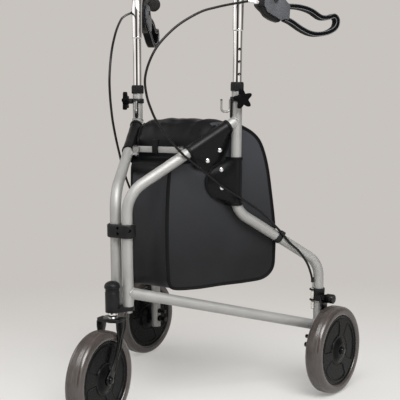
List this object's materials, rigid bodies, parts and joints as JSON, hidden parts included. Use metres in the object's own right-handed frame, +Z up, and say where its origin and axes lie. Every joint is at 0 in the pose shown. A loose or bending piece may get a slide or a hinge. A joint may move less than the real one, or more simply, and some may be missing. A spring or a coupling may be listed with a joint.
{
  "type": "three wheel rollator",
  "caption": "Folding tricycle walking aid with a swivelling front caster, splayed tube side frames, height-adjustable handles with loop brake levers and a soft carry bag.",
  "frame": {"origin": "on the floor, under the middle of the part's box", "axes": "+Z up, front towards -Y, the user's left towards +X"},
  "size_m": [0.5998, 0.6487, 0.8973],
  "materials": {
    "frame_paint": "satin silver paint",
    "handle_chrome": "bright plated",
    "bright_steel": "bright zinc plated",
    "black_plastic": "moulded, semi gloss",
    "fork_black": "black powder coat on pressed steel",
    "grip_black": "moulded matt",
    "lever_grey": "moulded satin",
    "black_vinyl": "coated cloth, soft sheen",
    "wheel_black": "moulded, semi gloss",
    "tyre_taupe": "matt, non marking",
    "bush_ivory": "moulded",
    "cable_black": "smooth cover"
  },
  "bodies": {
    "hinge_head": {"upper_hinge_bracket": "black_plastic", "lower_hinge_bracket": "black_plastic", "caster_cap": "black_plastic", "caster_bushes": "bush_ivory", "hinge_pins": "bright_steel", "carry_bag": "black_vinyl"},
    "caster": {"caster_stem": "bright_steel", "caster_fork": "fork_black", "front_axle": "bright_steel"},
    "front_wheel": {"front_tyre": "tyre_taupe", "front_wheel_hub": "wheel_black"},
    "left_frame": {"left_front_tube": "frame_paint", "left_rear_tube": "frame_paint", "left_lower_rail": "frame_paint", "left_post_plug": "black_plastic", "left_handle_clamp": "black_plastic", "left_basket_hook": "bright_steel", "left_cable_clip": "black_plastic", "left_rear_axle": "bright_steel", "left_brake_bracket": "black_plastic", "left_bag_flap": "black_vinyl", "left_flap_studs": "bright_steel", "left_brake_cable": "cable_black"},
    "left_knob": {"left_star_knob": "black_plastic"},
    "left_handle": {"left_handle_tube": "handle_chrome", "left_grip": "grip_black", "left_lever_body": "black_plastic", "left_lever_pin": "bright_steel", "left_cable_adjuster": "bright_steel"},
    "left_lever": {"left_brake_lever": "lever_grey"},
    "left_brake": {"left_brake_shoe": "black_plastic"},
    "left_wheel": {"left_rear_tyre": "tyre_taupe", "left_rear_hub": "wheel_black"},
    "left_clevis": {"left_spreader_clevis": "bright_steel"},
    "left_link": {"left_spreader_link": "frame_paint", "spreader_strap": "black_vinyl"},
    "right_frame": {"right_front_tube": "frame_paint", "right_rear_tube": "frame_paint", "right_lower_rail": "frame_paint", "right_post_plug": "black_plastic", "right_handle_clamp": "black_plastic", "right_basket_hook": "bright_steel", "right_cable_clip": "black_plastic", "right_rear_axle": "bright_steel", "right_brake_bracket": "black_plastic", "right_bag_flap": "black_vinyl", "right_flap_studs": "bright_steel", "right_brake_cable": "cable_black"},
    "right_knob": {"right_star_knob": "black_plastic"},
    "right_handle": {"right_handle_tube": "handle_chrome", "right_grip": "grip_black", "right_lever_body": "black_plastic", "right_lever_pin": "bright_steel", "right_cable_adjuster": "bright_steel"},
    "right_lever": {"right_brake_lever": "lever_grey"},
    "right_brake": {"right_brake_shoe": "black_plastic"},
    "right_wheel": {"right_rear_tyre": "tyre_taupe", "right_rear_hub": "wheel_black"},
    "right_clevis": {"right_spreader_clevis": "bright_steel"},
    "right_link": {"right_spreader_link": "frame_paint"}
  },
  "joints": [
    {"name": "caster_swivel", "type": "hinge", "parent": "hinge_head", "child": "caster", "pos_m": [0, -0.17919, 0.24], "axis": [0, 0, 1], "continuous": true},
    {"name": "front_wheel_spin", "type": "hinge", "parent": "caster", "child": "front_wheel", "pos_m": [0.00868, -0.22843, 0.095], "axis": [0.9848, 0.1736, 0], "continuous": true},
    {"name": "left_fold", "type": "hinge", "parent": "hinge_head", "child": "left_frame", "pos_m": [0.0155, -0.14969, 0.33], "axis": [0, 0, 1], "range_deg": [0, 22], "deforming": ["carry_bag"]},
    {"name": "left_knob_turn", "type": "hinge", "parent": "left_frame", "child": "left_knob", "pos_m": [0.13641, 0.05974, 0.63875], "axis": [0.866, -0.5, 0], "continuous": true},
    {"name": "left_handle_height", "type": "slide", "parent": "left_frame", "child": "left_handle", "axis": [0.0105, 0.0181, 0.9998], "range_m": [-0.1016, 0.0508], "deforming": ["left_brake_cable"]},
    {"name": "left_lever_squeeze", "type": "hinge", "parent": "left_handle", "child": "left_lever", "pos_m": [0.17806, 0.13187, 0.84265], "axis": [0.866, -0.5, 0], "range_deg": [0, 12], "stiffness_Nm_per_rad": 1},
    {"name": "left_brake_press", "type": "hinge", "parent": "left_frame", "child": "left_brake", "pos_m": [0.2505, 0.21763, 0.208], "axis": [-1, 0, 0], "range_deg": [0, 9]},
    {"name": "left_wheel_spin", "type": "hinge", "parent": "left_frame", "child": "left_wheel", "pos_m": [0.2725, 0.22963, 0.095], "axis": [1, 0, 0], "continuous": true},
    {"name": "left_spreader_swivel", "type": "hinge", "parent": "left_frame", "child": "left_clevis", "pos_m": [0.06241, -0.03244, 0.52611], "axis": [0, 0, -1], "range_deg": [0, 22]},
    {"name": "left_spreader_lift", "type": "hinge", "parent": "left_clevis", "child": "left_link", "pos_m": [0.05641, -0.03244, 0.53551], "axis": [0, 1, 0], "range_deg": [0, 81]},
    {"name": "right_fold", "type": "hinge", "parent": "hinge_head", "child": "right_frame", "pos_m": [-0.0155, -0.14969, 0.33], "axis": [0, 0, -1], "range_deg": [0, 22]},
    {"name": "right_knob_turn", "type": "hinge", "parent": "right_frame", "child": "right_knob", "pos_m": [-0.13641, 0.05974, 0.63875], "axis": [-0.866, -0.5, 0], "continuous": true},
    {"name": "right_handle_height", "type": "slide", "parent": "right_frame", "child": "right_handle", "axis": [-0.0105, 0.0181, 0.9998], "range_m": [-0.1016, 0.0508], "deforming": ["right_brake_cable"]},
    {"name": "right_lever_squeeze", "type": "hinge", "parent": "right_handle", "child": "right_lever", "pos_m": [-0.17806, 0.13187, 0.84265], "axis": [0.866, 0.5, 0], "range_deg": [0, 12], "stiffness_Nm_per_rad": 1},
    {"name": "right_brake_press", "type": "hinge", "parent": "right_frame", "child": "right_brake", "pos_m": [-0.2505, 0.21763, 0.208], "axis": [-1, 0, 0], "range_deg": [0, 9]},
    {"name": "right_wheel_spin", "type": "hinge", "parent": "right_frame", "child": "right_wheel", "pos_m": [-0.2725, 0.22963, 0.095], "axis": [1, 0, 0], "continuous": true},
    {"name": "right_spreader_swivel", "type": "hinge", "parent": "right_frame", "child": "right_clevis", "pos_m": [-0.06241, -0.03244, 0.52611], "axis": [0, 0, 1], "range_deg": [0, 22]},
    {"name": "right_spreader_lift", "type": "hinge", "parent": "right_clevis", "child": "right_link", "pos_m": [-0.05641, -0.03244, 0.53551], "axis": [0, -1, 0], "range_deg": [0, 81]}
  ],
  "couplings": [
    {"joint": "left_brake_press", "follows": "left_lever_squeeze", "ratio": 0.75},
    {"joint": "left_spreader_swivel", "follows": "left_fold", "ratio": 1},
    {"joint": "left_spreader_lift", "follows": "left_fold", "ratio": 3.67},
    {"joint": "right_fold", "follows": "left_fold", "ratio": 1},
    {"joint": "right_brake_press", "follows": "right_lever_squeeze", "ratio": 0.75},
    {"joint": "right_spreader_swivel", "follows": "left_fold", "ratio": 1},
    {"joint": "right_spreader_lift", "follows": "left_fold", "ratio": 3.67}
  ]
}
